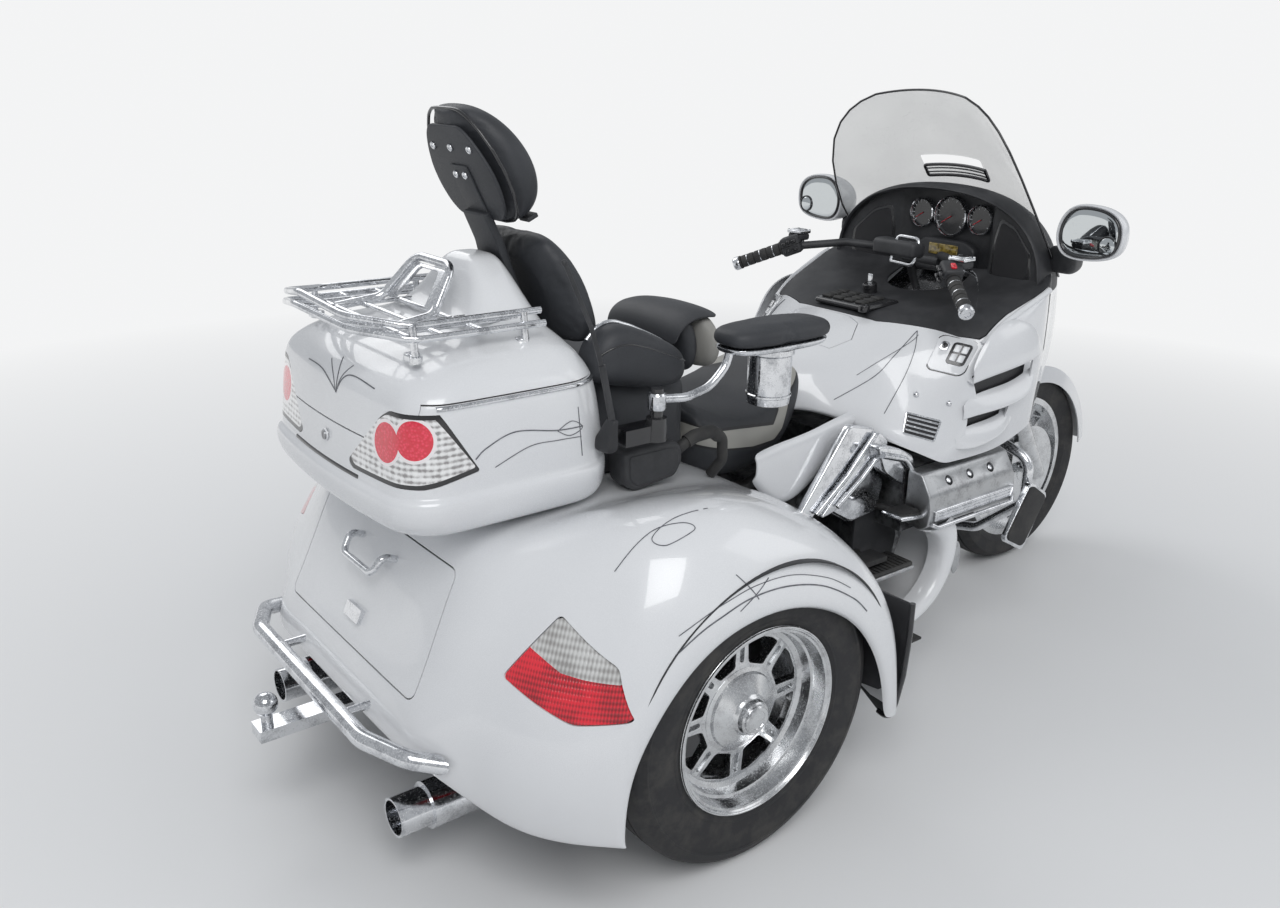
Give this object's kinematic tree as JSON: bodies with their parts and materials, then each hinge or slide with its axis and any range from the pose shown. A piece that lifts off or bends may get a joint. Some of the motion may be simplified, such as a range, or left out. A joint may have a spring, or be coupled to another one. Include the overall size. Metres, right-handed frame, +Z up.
{
  "type": "touring trike motorcycle",
  "caption": "White touring motorcycle with a rear trike body, tour trunk, luggage rack, passenger backrest and armrest, tall windshield and a tow hitch.",
  "frame": {"origin": "on the ground under the middle of the overall box", "axes": "+X forward, +Y to the rider's left, +Z up"},
  "size_m": [2.8696, 1.38, 1.5],
  "materials": {
    "white_paint": "gloss pearl paint",
    "chrome": "polished",
    "aluminium": "polished",
    "engine_metal": "dark cast",
    "tyre": "matte",
    "black_plastic": "satin",
    "rubber": "matte",
    "vinyl": "grained vinyl",
    "frame_paint": "satin paint",
    "clear_shield": "light smoke",
    "red_lens": "gloss",
    "clear_lens": "gloss",
    "mirror": "mirror",
    "dial": "gloss"
  },
  "bodies": {
    "chassis": {"frame": "frame_paint", "engine": "engine_metal", "valve_covers": "aluminium", "frame_covers": "chrome", "exhaust": "chrome", "rear_axle": "frame_paint", "trike_body": "white_paint", "body_lamps": "red_lens", "rear_bumper": "chrome", "tow_hitch": "chrome", "mud_flaps": "rubber", "lower_cowls": "white_paint", "floorboards": "rubber", "engine_guards": "chrome", "tank_shelter": "white_paint", "console": "black_plastic", "front_fairing": "white_paint", "headlights": "clear_lens", "side_cowls": "white_paint", "gill_screens": "black_plastic", "dash": "black_plastic", "gauges": "dial", "windshield": "clear_shield", "mirror_housings": "white_paint", "mirror_glasses": "mirror", "rider_seat": "vinyl", "pillion_seat": "vinyl", "side_pods": "black_plastic", "trunk_tub": "white_paint", "trunk_lamps": "red_lens", "armrest_post": "chrome", "antenna": "black_plastic", "grab_rails": "black_plastic", "backrest_mount": "chrome"},
    "steering": {"fork": "aluminium", "front_fender": "white_paint", "handlebar": "chrome", "grips": "rubber", "switch_pods": "black_plastic", "levers": "chrome"},
    "front_wheel": {"front_tyre": "tyre", "front_rim": "aluminium"},
    "rear_wheel_left": {"rear_tyre_left": "tyre", "rear_rim_left": "aluminium"},
    "rear_wheel_right": {"rear_tyre_right": "tyre", "rear_rim_right": "aluminium"},
    "lid": {"trunk_lid": "white_paint", "luggage_rack": "chrome", "backrest_bracket": "black_plastic", "backrest_pads": "vinyl"},
    "door": {"boot_door": "white_paint", "boot_handle": "chrome"},
    "armrest": {"armrest_frame": "chrome", "armrest_pad": "vinyl"},
    "rider_backrest": {"backrest_stem": "chrome", "rider_backrest_pad": "vinyl"}
  },
  "joints": [
    {"name": "steer", "type": "hinge", "parent": "chassis", "child": "steering", "pos_m": [0.66556, 0, 0.86], "axis": [-0.4886, 0, 0.8725], "range_deg": [-35, 35]},
    {"name": "front_spin", "type": "hinge", "parent": "steering", "child": "front_wheel", "pos_m": [1.09218, 0, 0.32], "axis": [0, 1, 0], "continuous": true},
    {"name": "rear_left_spin", "type": "hinge", "parent": "chassis", "child": "rear_wheel_left", "pos_m": [-0.65282, 0.557, 0.322], "axis": [0, 1, 0], "continuous": true},
    {"name": "rear_right_spin", "type": "hinge", "parent": "chassis", "child": "rear_wheel_right", "pos_m": [-0.65282, -0.557, 0.322], "axis": [0, 1, 0], "continuous": true},
    {"name": "lid_hinge", "type": "hinge", "parent": "chassis", "child": "lid", "pos_m": [-0.76482, 0, 0.975], "axis": [0, 1, 0], "range_deg": [0, 35]},
    {"name": "door_hinge", "type": "hinge", "parent": "chassis", "child": "door", "pos_m": [-1.23094, 0, 0.39138], "axis": [0, -1, 0], "range_deg": [0, 90]},
    {"name": "armrest_swivel", "type": "hinge", "parent": "chassis", "child": "armrest", "pos_m": [-0.69282, -0.352, 0.908], "axis": [0, 0, -1], "range_deg": [0, 90]},
    {"name": "backrest_fold", "type": "hinge", "parent": "chassis", "child": "rider_backrest", "pos_m": [-0.40082, 0, 0.822], "axis": [0, 1, 0], "range_deg": [0, 45]}
  ]
}
